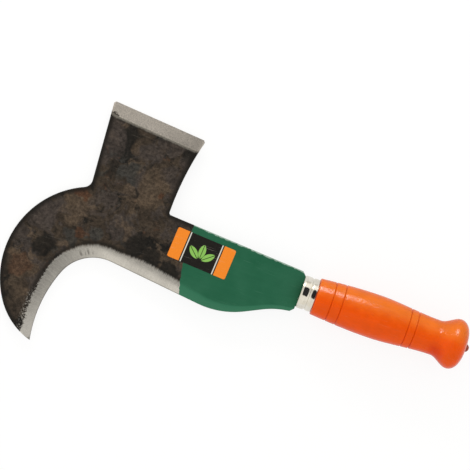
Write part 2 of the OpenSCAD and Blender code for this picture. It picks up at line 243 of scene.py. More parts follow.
STEEL_TONES = {
    "furrow": tone(196, 192, 184),
    "ridge": tone(222, 218, 210),
    "tick": tone(92, 86, 78),
    "point": tone(224, 220, 212),
    "axe": tone(220, 206, 193),
    "honed": tone(112, 109, 102),
    "heel": tone(92, 88, 82),
    "fleck": tone(160, 155, 147),
    "rubbed": tone(134, 129, 120),
}
GREEN_TONES = {
    "thin": tone(35, 95, 68),
    "thick": tone(45, 104, 77),
    "bevel": tone(60, 126, 96),
    "scuff": tone(92, 140, 118),
    "spine_highlight": tone(166, 188, 177),
}
ORANGE_TONES = {
    "painted_shade_height": tone(242, 86, 3),
    "pale": tone(236, 116, 29),
    "waist_shade": tone(222, 50, 4),
    "pore": tone(206, 72, 5),
    "scored": tone(176, 46, 3),
    "scuff": tone(240, 150, 104),
    "side": tone(196, 56, 2),
    "rivet_dark": tone(96, 30, 14),
    "rivet_pale": tone(190, 92, 66),
}
WOOD_TONES = {
    "dark": tone(140, 98, 62),
    "pale": tone(184, 138, 94),
}
NICKEL_TONES = {
    "dull": tone(212, 207, 195),
    "clear": tone(222, 218, 207),
    "scuff": tone(176, 170, 158),
}
PRINT_TONES = {
    "black": tone(30, 27, 24),
    "orange": tone(250, 140, 34),
    "leaf": tone(140, 196, 92),
    "pin_line": tone(222, 219, 210),
    "scuff": tone(205, 196, 184),
    "cut_edge": tone(226, 220, 208),
}
SCALE_TONES = {
    "black": tone(27, 25, 22),
    "brown": tone(57, 48, 39),
    "mauve": tone(61, 54, 50),
    "tan": tone(79, 66, 53),
    "rust": tone(73, 49, 34),
    "blue": tone(52, 51, 48),
    "soot_and_edge_shade": tone(24, 22, 19),
    "pale": tone(132, 122, 110),
    "scuff": tone(150, 142, 130),
}

# Clouds that drift all over the fire scale: tone, shift, clouds in a millimetre, the levels
# where they start and are full, and how far they cover.
SCALE_CLOUDS = (
    ("mauve", (-70, 210, 31), 0.045, 0.5, 0.56, 0.8),
    ("tan", (210, 60, 57), 0.05, 0.54, 0.6, 0.7),
    ("blue", (-30, 170, 12), 0.06, 0.6, 0.66, 0.6),
    ("rust", (130, 40, 9), 0.075, 0.62, 0.7, 0.6),
    ("soot_and_edge_shade", (55, -160, 77), 0.085, 0.6, 0.66, 0.7),
)

# Larger spots in the fire scale: tone, x, y and reach in millimetres, and how far they cover.
SCALE_SPOTS = (
    ("mauve", -217.0, 64.0, 12.0, 0.8),
    ("black", -240.0, 72.0, 12.0, 0.9),
    ("black", -243.0, 46.0, 9.0, 0.8),
    ("black", -189.0, 73.0, 9.0, 0.9),
    ("tan", -228.0, 67.0, 6.0, 0.5),
    ("mauve", -250.0, 70.0, 11.0, 0.8),
    ("mauve", -203.0, 77.0, 11.0, 0.8),
    ("blue", -231.0, 47.0, 10.0, 0.9),
    ("tan", -228.0, 34.0, 7.0, 0.7),
    ("tan", -206.0, 38.0, 17.0, 0.8),
    ("tan", -260.0, 8.0, 16.0, 0.8),
    ("rust", -259.0, 17.0, 5.0, 0.9),
    ("rust", -197.0, 33.0, 4.5, 0.9),
    ("mauve", -279.0, -4.0, 12.0, 0.9),
    ("blue", -258.0, -18.0, 8.0, 0.8),
    ("rust", -251.0, -12.0, 6.0, 0.8),
    ("blue", -242.0, -12.0, 5.0, 0.8),
    ("soot_and_edge_shade", -275.0, -29.0, 12.0, 0.9),
    ("black", -207.0, -9.0, 13.0, 0.9),
    ("black", -191.0, -12.0, 8.0, 0.9),
    ("black", -176.0, -16.0, 9.0, 0.9),
    ("rust", -290.0, -53.0, 11.0, 0.5),
    ("brown", -283.0, -84.0, 14.0, 0.8),
    ("tan", -283.0, -70.0, 8.0, 0.35),
)
SPOT_CORE = 0.6

# How far the scale's patches wander, in millimetres, and how many times in a millimetre.
WANDER = 26
WANDER_PER_MM = 0.07

# Pits in the scale: cells in a millimetre, shift, share of cells and size in a cell.
PIT_SIZES = ((0.07, (0, 0, 0), 0.45, 0.13), (0.16, (40, 90, 0), 0.3, 0.2))

# Scuffs: the turn and shift of their layers, and how many in a millimetre along each axis.
SCUFF_LAYERS = ((0.5, 11.0), (-0.9, 47.0))
SCUFFS_PER_MM = (0.045, 1.7, 0.4)

# The levels that a cloud usually spans.
CLOUD_SPAN = (0.3, 0.7)


class Wiring:
    """Adds nodes to one tree. An input takes a number, a colour or another node's output."""

    def __init__(self, tree):
        self.tree = tree

    def plug(self, socket, value):
        if isinstance(value, bpy.types.NodeSocket):
            self.tree.links.new(value, socket)
        else:
            socket.default_value = value

    def add(self, kind, inputs=None, **settings):
        node = self.tree.nodes.new(kind)
        for name, value in settings.items():
            setattr(node, name, value)
        for key, value in (inputs or {}).items():
            self.plug(node.inputs[key], value)
        return node

    def math(self, operation, first, second=0.0, third=0.0, clamp=False):
        node = self.add("ShaderNodeMath", {0: first, 1: second, 2: third},
                        operation=operation, use_clamp=clamp)
        return node.outputs[0]

    def plus(self, first, second):
        return self.math("ADD", first, second)

    def minus(self, first, second):
        return self.math("SUBTRACT", first, second)

    def times(self, first, second):
        return self.math("MULTIPLY", first, second)

    def times_plus(self, first, second, third):
        return self.math("MULTIPLY_ADD", first, second, third)

    def larger(self, first, second):
        return self.math("MAXIMUM", first, second)

    def size_of(self, value):
        return self.math("ABSOLUTE", value)

    def ramp(self, value, low, high, bottom=0.0, top=1.0):
        """Goes smoothly from bottom at low to top at high."""
        if low > high:
            low, high, bottom, top = high, low, top, bottom
        node = self.add(
            "ShaderNodeMapRange",
            {"Value": value, "From Min": low, "From Max": high, "To Min": bottom, "To Max": top},
            interpolation_type="SMOOTHSTEP",
        )
        return node.outputs["Result"]

    def vary(self, cloud, bottom=0.0, top=1.0):
        """Goes from bottom to top over the levels that a cloud usually spans."""
        return self.ramp(cloud, *CLOUD_SPAN, bottom, top)

    def mix(self, share, first, second):
        """A colour, part of the way from the first to the second."""
        node = self.add("ShaderNodeMix", data_type="RGBA")
        self.plug(node.inputs[0], share)
        self.plug(node.inputs[6], first)
        self.plug(node.inputs[7], second)
        return node.outputs[2]

    def between(self, share, first, second):
        """A number, part of the way from the first to the second."""
        node = self.add("ShaderNodeMix", data_type="FLOAT")
        self.plug(node.inputs[0], share)
        self.plug(node.inputs[2], first)
        self.plug(node.inputs[3], second)
        return node.outputs[0]

    def shade(self, colour, amount):
        """Makes a colour lighter or darker, or a shift longer or shorter, by a factor."""
        node = self.add("ShaderNodeVectorMath", {0: colour, 3: amount}, operation="SCALE")
        return node.outputs["Vector"]

    def vector(self, operation, first, second=(0, 0, 0)):
        """A sum in vectors. It gives its outputs, of which Vector or Value is the one to take."""
        return self.add("ShaderNodeVectorMath", {0: first, 1: second}, operation=operation).outputs

    def place(self, position, shift=(0, 0, 0), stretch=(1, 1, 1), turn=0.0):
        node = self.add(
            "ShaderNodeMapping",
            {"Vector": position, "Location": shift, "Rotation": (0, 0, turn), "Scale": stretch},
        )
        return node.outputs[0]

    def counted_from(self, position, middle, turn, unit=(1, 1, 1)):
        """A place as counted from a middle, along turned axes."""
        node = self.add(
            "ShaderNodeMapping",
            {"Vector": position, "Location": middle, "Rotation": (0, 0, turn), "Scale": unit},
            vector_type="TEXTURE",
        )
        return node.outputs[0]

    def cloud(self, position, per_mm, detail, rough=0.5, warp=0.0):
        node = self.add(
            "ShaderNodeTexNoise",
            {"Vector": position, "Scale": per_mm, "Detail": detail, "Roughness": rough,
             "Distortion": warp},
        )
        return node.outputs["Fac"]

    def stretched_cloud(self, position, stretch, detail, rough=0.5, shift=(0, 0, 0), warp=0.0):
        """A cloud with its own size along each axis."""
        return self.cloud(self.place(position, shift, stretch), 1.0, detail, rough, warp)

    def parts(self, vector):
        return self.add("ShaderNodeSeparateXYZ", {0: vector}).outputs

    def joined(self, x, y, z=0.0):
        return self.add("ShaderNodeCombineXYZ", {"X": x, "Y": y, "Z": z}).outputs[0]

    def position(self):
        """The place on the tool, in millimetres."""
        where = self.add("ShaderNodeTexCoord").outputs["Object"]
        return self.place(where, stretch=(TO_MM, TO_MM, TO_MM))

    def facing_up(self):
        """One on a face that looks up, nought on an upright one, minus one on one that looks down."""
        return self.parts(self.add("ShaderNodeTexCoord").outputs["Normal"])["Z"]

    def measure(self, name):
        """A measure that is kept at the piece's own points."""
        return self.add("ShaderNodeAttribute", attribute_name=name).outputs["Fac"]


def fresh_wiring(owner):
    owner.use_nodes = True
    owner.node_tree.nodes.clear()
    return Wiring(owner.node_tree)


def new_finish(name):
    finish = bpy.data.materials.new(name)
    wiring = fresh_wiring(finish)
    surface = wiring.add("ShaderNodeBsdfPrincipled")
    wiring.add("ShaderNodeOutputMaterial", {"Surface": surface.outputs[0]})
    return finish, wiring, surface


def raise_skin(wiring, surface, height, depth_mm):
    bump = wiring.add("ShaderNodeBump", {"Height": height, "Strength": 1.0, "Distance": depth_mm * MM})
    wiring.plug(surface.inputs["Normal"], bump.outputs[0])


def new_group(name, inputs, outputs):
    group = bpy.data.node_groups.new(name, "ShaderNodeTree")
    for label, kind in inputs:
        group.interface.new_socket(label, in_out="INPUT", socket_type=kind)
    for label, kind in outputs:
        group.interface.new_socket(label, in_out="OUTPUT", socket_type=kind)
    wiring = Wiring(group)
    taken = wiring.add("NodeGroupInput")
    given = wiring.add("NodeGroupOutput")
    return group, wiring, taken.outputs, given.inputs


def lacquer_skin_group():
    """Thick and thin places of a dipped coat, and its fine orange peel."""
    group, wiring, taken, given = new_group(
        "lacquer_skin",
        [("Position", "NodeSocketVector"), ("Cloud per mm", "NodeSocketFloat"),
         ("Peel per mm", "NodeSocketFloat")],
        [("Thickness", "NodeSocketFloat"), ("Peel", "NodeSocketFloat")],
    )
    wiring.plug(given["Thickness"], wiring.cloud(taken["Position"], taken["Cloud per mm"], 4.0, 0.55))
    wiring.plug(given["Peel"], wiring.cloud(taken["Position"], taken["Peel per mm"], 2.0))
    return group


def scuffs_group():
    """Thin scratches in two directions, as handling leaves them."""
    group, wiring, taken, given = new_group(
        "handling_scuffs",
        [("Position", "NodeSocketVector"), ("Amount", "NodeSocketFloat")],
        [("Scuffs", "NodeSocketFloat")],
    )
    both = 0.0
    for turn, shift in SCUFF_LAYERS:
        lines = wiring.place(taken["Position"], (shift, 0, 0), SCUFFS_PER_MM, turn)
        layer = wiring.ramp(wiring.cloud(lines, 1.0, 2.0, 0.6, 0.25), 0.685, 0.73)
        both = wiring.larger(both, layer)
    wiring.plug(given["Scuffs"], wiring.math("MULTIPLY", both, taken["Amount"], clamp=True))
    return group


LACQUER_SKIN = lacquer_skin_group()
SCUFFS = scuffs_group()


def lacquer_skin(wiring, position, cloud_per_mm, peel_per_mm):
    node = wiring.add(
        "ShaderNodeGroup",
        {"Position": position, "Cloud per mm": cloud_per_mm, "Peel per mm": peel_per_mm},
        node_tree=LACQUER_SKIN,
    )
    return node.outputs["Thickness"], node.outputs["Peel"]


def scuffed(wiring, position, amount, colour, scuff_tone):
    """A colour with handling scuffs over it, and the scuffs alone."""
    node = wiring.add("ShaderNodeGroup", {"Position": position, "Amount": amount}, node_tree=SCUFFS)
    return wiring.mix(node.outputs["Scuffs"], colour, scuff_tone), node.outputs["Scuffs"]


def blade_places(wiring):
    """Places, measures and looks that the blade's finishes share."""
    where = wiring.position()
    part = wiring.parts(where)
    grind = wiring.measure("grind")
    # Grinding runs across the edge, so its lines follow the run of the edge.
    across = wiring.joined(wiring.measure("edge_run"), grind, part["Z"])
    return SimpleNamespace(
        where=where,
        x=part["X"],
        y=part["Y"],
        grind=grind,
        across=across,
        stroke=wiring.stretched_cloud(across, (1.5, 1.1, 0.3), 3.0, 0.6),
        creep=wiring.cloud(where, 0.45, 5.0, 0.75),
        specks=wiring.cloud(where, 0.38, 6.0, 0.68),
        from_border=wiring.measure("from_border"),
        from_outline=wiring.measure("from_outline"),
        on_hook=wiring.ramp(part["Y"], *HOOK_LOOK),
        on_axe=wiring.ramp(part["Y"], *AXE_LOOK),
        at_point=wiring.ramp(part["Y"], *POINT_LOOK),
    )


def scale_colours(wiring, wandering, patches):
    """The scale's black and brown patches, its clouds and its spots."""
    colour = wiring.mix(wiring.ramp(patches, 0.4, 0.47), SCALE_TONES["black"], SCALE_TONES["brown"])
    for name, shift, per_mm, start, full, cover in SCALE_CLOUDS:
        cloud = wiring.cloud(wiring.place(wandering, shift), per_mm, 4.0, 0.6)
        colour = wiring.mix(wiring.ramp(cloud, start, full, 0.0, cover), colour, SCALE_TONES[name])
    level = wiring.place(wandering, stretch=(1, 1, 0))
    for name, x, y, reach, cover in SCALE_SPOTS:
        gap = wiring.vector("DISTANCE", level, (x, y, 0))["Value"]
        spot = wiring.ramp(gap, reach, SPOT_CORE * reach, 0.0, cover)
        colour = wiring.mix(spot, colour, SCALE_TONES[name])
    return colour


def scale_pits(wiring, blade):
    """Pits of two sizes with crumbled rims."""
    crumbled = wiring.vary(blade.specks, 0.0, 0.1)
    pits = 0.0
    for per_mm, shift, share, size in PIT_SIZES:
        level = wiring.place(blade.where, shift, (1, 1, 0))
        cells = wiring.add("ShaderNodeTexVoronoi", {"Vector": level, "Scale": per_mm})
        chosen = wiring.add("ShaderNodeSeparateColor", {"Color": cells.outputs["Color"]}).outputs[0]
        reach = wiring.ramp(chosen, 1.0 - share, 1.0, -0.1, size)
        rim = wiring.plus(cells.outputs["Distance"], crumbled)
        pits = wiring.larger(pits, wiring.ramp(wiring.minus(reach, rim), -0.05, 0.03))
    return pits


def forge_scale(wiring, blade):
    """Brown and black fire scale in patches, with specks and pits, and painted shade along the outline.
    """
    drift = wiring.add("ShaderNodeTexNoise",
                       {"Vector": blade.where, "Scale": WANDER_PER_MM, "Detail": 3.0})
    drift = wiring.vector("SUBTRACT", drift.outputs["Color"], (0.5, 0.5, 0.5))["Vector"]
    wandering = wiring.vector("ADD", wiring.shade(drift, WANDER), blade.where)["Vector"]
    patches = wiring.cloud(wandering, 0.042, 4.0, 0.55)
    colour = scale_colours(wiring, wandering, patches)

    flakes = wiring.cloud(wandering, 0.15, 5.0, 0.7)
    colour = wiring.shade(colour, wiring.ramp(flakes, 0.43, 0.53, 0.88, 1.21))
    colour = wiring.shade(colour, wiring.ramp(blade.specks, 0.25, 0.75, 0.48, 1.52))
    pale = wiring.cloud(wiring.place(blade.where, (0, 0, 50)), 1.1, 3.0, 0.6)
    colour = wiring.mix(wiring.ramp(pale, 0.66, 0.74, 0.0, 0.35), colour, SCALE_TONES["pale"])
    pits = scale_pits(wiring, blade)
    colour = wiring.mix(wiring.times(pits, 0.7), colour, SCALE_TONES["soot_and_edge_shade"])
    colour, _ = scuffed(wiring, blade.where, 0.16, colour, SCALE_TONES["scuff"])

    # Painted shade: the scale darkens along the outline, as a drawn-down edge would be shaded, and
    # darkens less along the bevel's border.
    ragged = wiring.times_plus(blade.specks, 3.0, wiring.times(patches, 4.0))
    rim = wiring.ramp(wiring.minus(blade.from_outline, ragged), 1.6, -2.2, 0.0, 0.85)
    darker_by_bevel = wiring.ramp(wiring.minus(blade.from_border, ragged), -0.7, -3.2, 0.0, 0.7)
    colour = wiring.mix(wiring.larger(rim, darker_by_bevel), colour, SCALE_TONES["soot_and_edge_shade"])
    height = wiring.minus(wiring.times(blade.specks, 0.6), pits)
    return colour, height


def touched_scale(wiring, blade, scale):
    """Scale that the wheel just touched: flecks near the point and a rubbed border along the axe."""
    touched = wiring.times(wiring.ramp(blade.from_border, 4.6, 0.6), wiring.ramp(blade.y, *FLECK_LOOK))
    flecks = wiring.cloud(wiring.place(blade.where, (0, 0, 90)), 0.8, 4.0, 0.75)
    flecks = wiring.times(touched, wiring.ramp(flecks, 0.53, 0.62))
    scale = wiring.mix(flecks, scale, STEEL_TONES["fleck"])
    rubbed = wiring.times_plus(blade.creep, -3.0, blade.from_border)
    rubbed = wiring.times(wiring.ramp(rubbed, 0.4, -1.5, 0.0, 0.7), blade.on_axe)
    return wiring.mix(rubbed, scale, STEEL_TONES["rubbed"])


def ground_steel(wiring, blade):
    """Ground bevels: strokes of the wheel, chatter, a matt point, a tinted axe and a honed edge."""
    band = wiring.stretched_cloud(blade.across, (0.1, 0.8, 0.3), 2.0, shift=(31, 0, 0))
    depth = wiring.between(blade.on_hook, 0.35, 1.0)
    furrow = wiring.between(depth, 0.5, wiring.vary(blade.stroke))
    ground = wiring.mix(furrow, STEEL_TONES["furrow"], STEEL_TONES["ridge"])
    ground = wiring.shade(ground, wiring.vary(band, 0.95, 1.04))

    # Short dark ticks where the wheel chattered.
    ticks = wiring.stretched_cloud(blade.across, (0.7, 0.5, 0.3), 1.0, shift=(5, 0, 0))
    ticks = wiring.times(wiring.ramp(ticks, 0.51, 0.59), wiring.ramp(wiring.measure("chatter"), 0.1, 0.5))
    ticks = wiring.times(ticks, wiring.ramp(blade.grind, 0.85, 0.7))
    ground = wiring.mix(wiring.times(ticks, 0.6), ground, STEEL_TONES["tick"])

    # The matt point, and the axe's tint and coarser grit.
    ground = wiring.mix(blade.at_point, ground, STEEL_TONES["point"])
    ground = wiring.mix(wiring.times(blade.on_axe, 0.4), ground, STEEL_TONES["axe"])
    grit = wiring.cloud(blade.where, 1.3, 3.0, 0.7)
    fine = wiring.vary(grit, 0.89, 1.1)
    coarse = wiring.vary(grit, 0.7, 1.17)
    ground = wiring.shade(ground, wiring.between(blade.on_axe, fine, coarse))

    # The darker line of the honed edge, and the axe's bevel growing darker towards the heel.
    honed = wiring.ramp(wiring.times_plus(grit, 0.06, blade.grind), 0.955, 0.99)
    honed = wiring.times(honed, wiring.between(blade.on_axe, 0.6, 0.0))
    ground = wiring.mix(honed, ground, STEEL_TONES["honed"])
    heel = wiring.times(wiring.ramp(blade.x, *HEEL_LOOK, 0.0, 0.3), blade.on_axe)
    return wiring.mix(heel, ground, STEEL_TONES["heel"])


def wheel_cleared(wiring, blade):
    """One where the wheel cleared the scale away. What it left creeps over the bevel's inner border."""
    crumbs = wiring.cloud(blade.where, 1.2, 3.0, 0.7)
    lines = wiring.stretched_cloud(blade.across, (0.9, 1.0, 0.3), 4.0, 0.7, shift=(7, 0, 0))
    reach = wiring.plus(wiring.ramp(blade.creep, 0.4, 0.66), wiring.ramp(lines, 0.42, 0.7, 0.0, 0.5))
    reach = wiring.plus(reach, wiring.ramp(crumbs, 0.44, 0.6, 0.0, 0.9))
    fringe = wiring.ramp(blade.stroke, 0.35, 0.7, 0.0, 1.4)
    crisp = wiring.larger(blade.on_hook, blade.on_axe)
    left = wiring.times(wiring.between(crisp, fringe, reach), wiring.measure("ragged"))
    cleared = wiring.times(wiring.minus(blade.grind, left), wiring.between(crisp, 0.25, 1.0))
    return wiring.ramp(cleared, 0.0, 0.08)


def green_lacquer(wiring, blade, thickness):
    """Green lacquer, scuffed, with painted light: paler over the bevel, and a painted highlight along the
    spine's eased edge, broken like rubbed lacquer.
    """
    green = wiring.mix(wiring.vary(thickness), GREEN_TONES["thin"], GREEN_TONES["thick"])
    drag = wiring.stretched_cloud(blade.where, (0.05, 0.7, 0.7), 3.0, 0.6)
    green = wiring.shade(green, wiring.vary(drag, 0.975, 1.025))
    # Painted light: the green is paler over the bevel.
    green = wiring.mix(wiring.ramp(blade.grind, 0.05, 0.4, 0.0, 0.6), green, GREEN_TONES["bevel"])
    green, _ = scuffed(wiring, blade.where, 0.3, green, GREEN_TONES["scuff"])
    # Painted highlight: the spine's eased edge is painted pale, in breaks like rubbed lacquer.
    uneven = wiring.ramp(wiring.cloud(blade.where, 0.3, 4.0, 0.7), 0.35, 0.65, 0.4, -0.5)
    spine_highlight = wiring.ramp(wiring.plus(blade.from_outline, uneven), 1.15, 0.45, 0.0, 0.85)
    spine_highlight = wiring.times(spine_highlight, wiring.ramp(blade.y, *SPINE_LOOK))
    return wiring.mix(spine_highlight, green, GREEN_TONES["spine_highlight"])


def blade_finish():
    finish, wiring, surface = new_finish("scaled_ground_and_dipped_blade")
    blade = blade_places(wiring)
    scale, scale_height = forge_scale(wiring, blade)
    scale = touched_scale(wiring, blade, scale)
    bright = wheel_cleared(wiring, blade)
    colour = wiring.mix(bright, scale, ground_steel(wiring, blade))

    # Green lacquer from the dip line to the shoulder.
    wavy = wiring.vary(wiring.cloud(blade.where, 0.35, 2.0), -0.25, 0.25)
    dipped = wiring.ramp(wiring.plus(wiring.measure("lacquer_reach"), wavy), -0.25, 0.25)
    thickness, peel = lacquer_skin(wiring, blade.where, 0.03, 0.5)
    colour = wiring.mix(dipped, colour, green_lacquer(wiring, blade, thickness))

    # The wood's lacquer ran over the riveted end of the tang.
    smeared = wiring.ramp(blade.x, *RIVET_LOOK)
    streaks = wiring.cloud(blade.where, 0.5, 3.0)
    smear = wiring.mix(streaks, ORANGE_TONES["rivet_dark"], ORANGE_TONES["rivet_pale"])
    colour = wiring.mix(smeared, colour, smear)
    coat = wiring.larger(dipped, smeared)

    scale_rough = wiring.vary(blade.specks, 0.6, 0.48)
    ground_rough = wiring.ramp(blade.stroke, 0.25, 0.75, 0.29, 0.33)
    coat_rough = wiring.vary(thickness, 0.2, 0.28)
    rough = wiring.between(coat, wiring.between(bright, scale_rough, ground_rough), coat_rough)
    matt = wiring.times_plus(blade.on_axe, 0.6, blade.at_point)
    metal = wiring.between(bright, 0.0, wiring.between(matt, 0.74, 0.45))
    height = wiring.between(bright, scale_height, wiring.times(blade.stroke, 0.03))
    height = wiring.between(coat, height, wiring.times_plus(peel, 0.15, 1.1))
    wiring.plug(surface.inputs["Base Color"], colour)
    wiring.plug(surface.inputs["Roughness"], rough)
    wiring.plug(surface.inputs["Metallic"], wiring.between(coat, metal, 0.0))
    surface.inputs["Specular IOR Level"].default_value = BLADE_GLOSS
    raise_skin(wiring, surface, height, BLADE_RELIEF)
    return finish


def handle_finish():
    """Orange lacquer with painted light and shade: paler on the +y side, deeper on the -y side, and
    darker along the sides, under the waist and in the scored rings.
    """
    finish, wiring, surface = new_finish("orange_lacquered_wood")
    where = wiring.position()
    part = wiring.parts(where)
    thickness, peel = lacquer_skin(wiring, where, 0.09, 0.5)
    grain = wiring.stretched_cloud(where, (0.12, 0.6, 0.6), 5.0, 0.65, warp=0.3)
    pores = wiring.stretched_cloud(where, (0.25, 1.4, 1.4), 3.0, 0.6, shift=(5, 5, 5))
    pores = wiring.ramp(pores, 0.6, 0.72)

    # Painted light and shade: the orange goes from deep on the -y side to pale on the +y side, where the
    # light falls.
    painted_shade_height = wiring.times_plus(thickness, 7.0, part["Y"])
    orange = wiring.mix(wiring.ramp(painted_shade_height, 1.0, 15.0), ORANGE_TONES["painted_shade_height"], ORANGE_TONES["pale"])
    mottle = wiring.times_plus(grain, 0.4, thickness)
    orange = wiring.shade(orange, wiring.ramp(mottle, 0.5, 0.9, 0.95, 1.04))
    # Painted shade under the waist, on its -y side.
    from_waist = wiring.size_of(wiring.minus(part["X"], WAIST_X))
    waist_shade = wiring.times(wiring.ramp(from_waist, 9.0, 2.0), wiring.ramp(painted_shade_height, 0.0, -7.0))
    orange = wiring.mix(wiring.times(waist_shade, 0.55), orange, ORANGE_TONES["waist_shade"])
    orange = wiring.mix(wiring.times(pores, 0.3), orange, ORANGE_TONES["pore"])
    # Painted shade in the grooves of the scored rings.
    orange = wiring.mix(wiring.times(wiring.measure("scored"), 0.4), orange, ORANGE_TONES["scored"])
    orange, _ = scuffed(wiring, where, 0.2, orange, ORANGE_TONES["scuff"])
    # Painted shade along the handle's sides, where its faces turn away from above.
    level = wiring.size_of(wiring.facing_up())
    orange = wiring.mix(wiring.ramp(level, 0.7, 0.1, 0.0, 0.45), orange, ORANGE_TONES["side"])

    # Inside the ferrule the wood is bare.
    bare = wiring.mix(wiring.vary(grain), WOOD_TONES["dark"], WOOD_TONES["pale"])
    colour = wiring.mix(wiring.ramp(part["X"], *LACQUER_END), orange, bare)

    rough = wiring.ramp(wiring.times_plus(peel, 0.5, grain), 0.5, 1.0, 0.15, 0.27)
    height = wiring.times_plus(grain, 0.4, wiring.times(peel, 0.8))
    height = wiring.minus(wiring.plus(height, thickness), wiring.times(pores, 0.3))
    wiring.plug(surface.inputs["Base Color"], colour)
    wiring.plug(surface.inputs["Roughness"], rough)
    surface.inputs["Specular IOR Level"].default_value = HANDLE_GLOSS
    raise_skin(wiring, surface, height, HANDLE_RELIEF)
    return finish


def ferrule_finish():
    finish, wiring, surface = new_finish("nickel_plated_tube")
    where = wiring.position()
    turned = wiring.stretched_cloud(where, (2.2, 0.04, 0.04), 3.0, 0.6)
    cloudy = wiring.cloud(where, 0.16, 3.0)
    nickel = wiring.mix(wiring.ramp(cloudy, 0.35, 0.7), NICKEL_TONES["dull"], NICKEL_TONES["clear"])
    nickel = wiring.shade(nickel, wiring.vary(turned, 0.95, 1.03))
    nickel, rub = scuffed(wiring, where, 0.35, nickel, NICKEL_TONES["scuff"])
    rough = wiring.times_plus(rub, 0.2, wiring.vary(turned, 0.09, 0.14))
    wiring.plug(surface.inputs["Base Color"], nickel)
    wiring.plug(surface.inputs["Roughness"], rough)
    surface.inputs["Metallic"].default_value = 1.0
    raise_skin(wiring, surface, wiring.times_plus(turned, 0.25, cloudy), FERRULE_RELIEF)
    return finish


def printed_leaf(wiring, flat, lean):
    """One on a leaf of the print, but for its vein."""
    spot = wiring.parts(wiring.counted_from(flat, LEAF_FOOT, lean))
    width = wiring.size_of(spot["X"])
    from_disc = wiring.joined(wiring.plus(width, DISC_OFFSET), wiring.minus(spot["Y"], LEAF_MIDDLE))
    span = wiring.vector("LENGTH", from_disc)["Value"]
    return wiring.times(wiring.ramp(span, *DISC_BORDER), wiring.ramp(width, *VEIN_BORDER))


def label_finish(centre, turn):
    finish, wiring, surface = new_finish("printed_label")
    where = wiring.position()
    flat = wiring.counted_from(where, centre, turn)
    from_middle = wiring.size_of(wiring.parts(flat)["X"])
    ends = wiring.ramp(from_middle, *ENDS_BORDER)
    colour = wiring.mix(ends, PRINT_TONES["black"], PRINT_TONES["orange"])
    from_line = wiring.size_of(wiring.minus(from_middle, PIN_LINE_AT))
    colour = wiring.mix(wiring.ramp(from_line, *PIN_LINE_BORDER), colour, PRINT_TONES["pin_line"])
    for lean in LEAF_LEANS:
        colour = wiring.mix(printed_leaf(wiring, flat, lean), colour, PRINT_TONES["leaf"])
    paper = wiring.cloud(where, 2.2, 2.0, 0.6)
    colour = wiring.shade(colour, wiring.vary(paper, 0.95, 1.05))
    colour, _ = scuffed(wiring, where, 0.3, colour, PRINT_TONES["scuff"])
    cut_edge = wiring.ramp(wiring.facing_up(), 0.6, 0.3)
    colour = wiring.mix(cut_edge, colour, PRINT_TONES["cut_edge"])
    wiring.plug(surface.inputs["Base Color"], colour)
    wiring.plug(surface.inputs["Roughness"], wiring.vary(paper, 0.36, 0.46))
    surface.inputs["Specular IOR Level"].default_value = LABEL_GLOSS
    raise_skin(wiring, surface, paper, LABEL_RELIEF)
    return finish


def merged_copy(node):
    """The CAD solid's skin with its loose triangles joined."""
    skin = bmesh.new()
    skin.from_mesh(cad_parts[node].data)
    bmesh.ops.remove_doubles(skin, verts=skin.verts, dist=SAME_POINT)
    return skin


def flat_faces_whole(skin):
    bmesh.ops.dissolve_limit(skin, angle_limit=FLAT_WITHIN, verts=skin.verts, edges=skin.edges)


def triangles_to_quads(skin):
    bmesh.ops.join_triangles(skin, faces=skin.faces, angle_face_threshold=QUAD_BEND,
                             angle_shape_threshold=QUAD_SKEW)


def smooth_but_for(skin, crease, wall_crease=None):
    """Shades a skin smooth, but keeps edges crisp that turn by more than this many degrees."""
    for face in skin.faces:
        face.smooth = True
    for edge in skin.edges:
        limit = crease
        if wall_crease and all(face_kind(face) == WALL for face in edge.link_faces):
            limit = wall_crease
        edge.smooth = edge.calc_face_angle(0) < math.radians(limit)


def grid_cut(skin, low, high, chosen):
    """Cuts the chosen faces into squares, so that their points can be moved."""
    for axis in range(2):
        normal = Vector((axis == 0, axis == 1, 0))
        cuts = int((high[axis] - low[axis]) / BLADE_GRID)
        for cut in range(1, cuts + 1):
            faces = [face for face in skin.faces if chosen(face)]
            edges = {edge for face in faces for edge in face.edges}
            verts = {vert for face in faces for vert in face.verts}
            bmesh.ops.bisect_plane(
                skin, geom=faces + list(edges) + list(verts), dist=ON_PLANE,
                plane_co=normal * (low[axis] + cut * BLADE_GRID), plane_no=normal,
            )


def forge_wave(place, draw):
    """How far the hammer left the face from true, in metres."""
    x, y = place.x * TO_MM, place.y * TO_MM
    slow = noise.noise(Vector((x * WAVE_PER_MM, y * WAVE_PER_MM, draw)))
    dents = noise.noise(Vector((x * DENT_PER_MM, y * DENT_PER_MM, draw + DENT_DRAW)))
    return (WAVE_HEIGHT * slow + DENT_HEIGHT * dents) * MM


def face_kind(face):
    lean = abs(face.normal.z)
    if lean > LEVEL_FACE:
        return FLAT
    if lean > GROUND_FACE:
        return GROUND
    if lean > EASED_FACE:
        return EASED
    return WALL


def edge_chains(skin, kinds, first, second):
    """The runs of edges, on the upper side, where two kinds of faces meet, the same in every run."""
    shared = {}
    for edge in skin.edges:
        pair = {kinds[face] for face in edge.link_faces}
        middle = (edge.verts[0].co + edge.verts[1].co) / 2
        if pair == {first, second} and middle.z > 0 and middle.x < TANG_START:
            shared[edge] = True
    chains = []
    while shared:
        edge, _ = shared.popitem()
        chain = [edge.verts[0], edge.verts[1]]
        for grow_front in (True, False):
            while True:
                tip = chain[0] if grow_front else chain[-1]
                onward = [e for e in tip.link_edges if e in shared]
                if not onward:
                    break
                del shared[onward[0]]
                reached = onward[0].other_vert(tip)
                chain.insert(0 if grow_front else len(chain), reached)
        chains.append([vert.co.copy() for vert in chain])
    chains.sort(key=lambda chain: (round(chain[0].y, 6), round(chain[0].x, 6)))
    return chains


